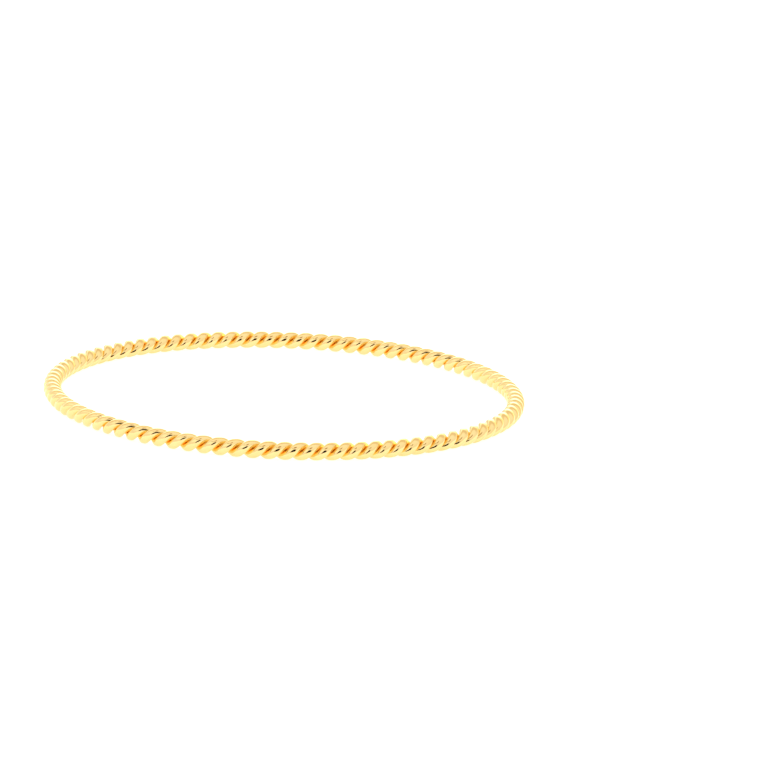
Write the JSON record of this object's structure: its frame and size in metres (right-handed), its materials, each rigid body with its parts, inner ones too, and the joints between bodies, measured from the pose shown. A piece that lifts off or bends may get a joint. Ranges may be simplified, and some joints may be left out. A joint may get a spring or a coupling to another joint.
{
  "type": "bangle",
  "caption": "Closed round bangle of polished yellow gold wire twisted into a slim rope, open in the middle for the wrist.",
  "frame": {"origin": "on the surface the bangle lies on, in the middle of the wrist hollow", "axes": "+Z is the ring's axis and points up from the surface; the picture's camera looks towards +Y, with +X to its right"},
  "size_m": [0.0706, 0.0706, 0.0026],
  "materials": {
    "polished_gold": "polished yellow gold, smooth, with fine wear scratches"
  },
  "bodies": {
    "root": {"wire_strand_a": "polished_gold", "wire_strand_b": "polished_gold"}
  },
  "joints": []
}
